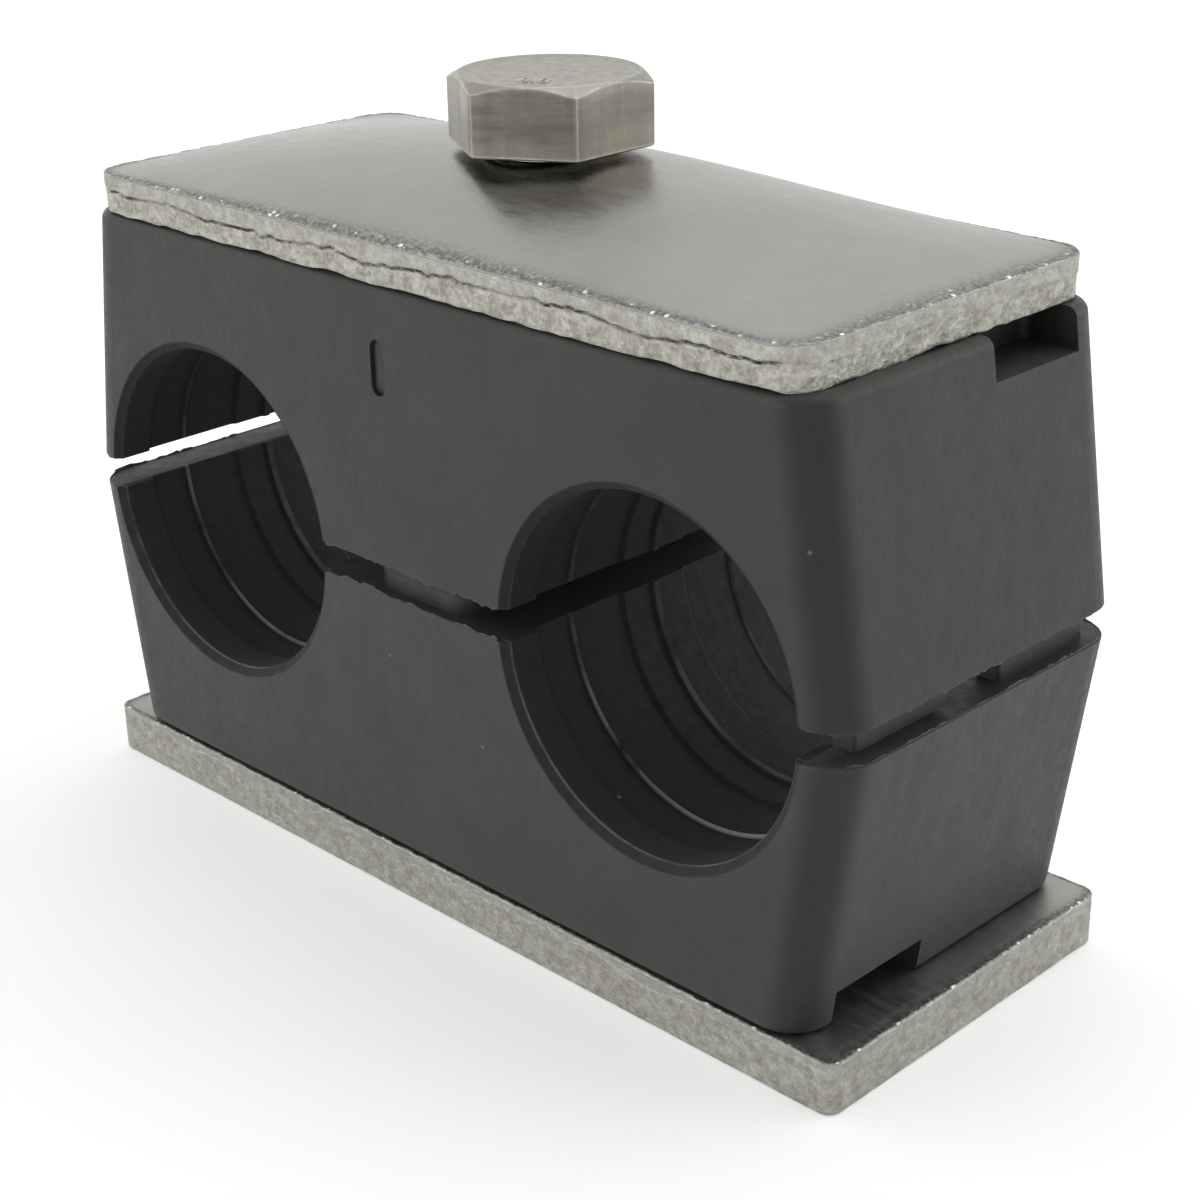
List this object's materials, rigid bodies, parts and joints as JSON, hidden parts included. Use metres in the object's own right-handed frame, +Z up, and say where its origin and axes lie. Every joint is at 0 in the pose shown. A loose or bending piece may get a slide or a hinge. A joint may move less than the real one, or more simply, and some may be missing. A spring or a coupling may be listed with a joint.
{
  "type": "hydraulic tube clamp",
  "caption": "Twin tube clamp with moulded halves that seat parallel hydraulic tubes between a weld plate and a cover plate, drawn together by a central hex bolt.",
  "frame": {"origin": "centre of the weld plate's underside", "axes": "+X along the row of the two bores, +Y along the tubes, +Z up through the bolt"},
  "size_m": [0.078, 0.03, 0.0596],
  "materials": {
    "plate_steel": "rolled sheet, burnished edges",
    "nut_steel": "plain",
    "bolt_steel": "drawn, lightly streaked",
    "clamp_plastic": "moulded, fine texture"
  },
  "bodies": {
    "base": {"weld_plate": "plate_steel", "weld_nut": "nut_steel", "lower_clamp_half": "clamp_plastic"},
    "lid": {"upper_clamp_half": "clamp_plastic"},
    "cover": {"cover_plate": "plate_steel"},
    "bolt": {"hex_bolt": "bolt_steel"}
  },
  "joints": [
    {"name": "bolt_turn", "type": "hinge", "parent": "lid", "child": "bolt", "pos_m": [0, 0, 0.0543], "axis": [0, 0, 1], "range_deg": [0, 1440]},
    {"name": "lid_lift", "type": "slide", "parent": "base", "child": "lid", "axis": [0, 0, 1], "range_m": [0, 0.005]},
    {"name": "cover_swivel", "type": "hinge", "parent": "lid", "child": "cover", "pos_m": [0, 0, 0.0472], "axis": [0, 0, 1], "continuous": true}
  ],
  "couplings": [
    {"joint": "bolt_turn", "follows": "lid_lift", "rad_per_m": 5026.5}
  ]
}
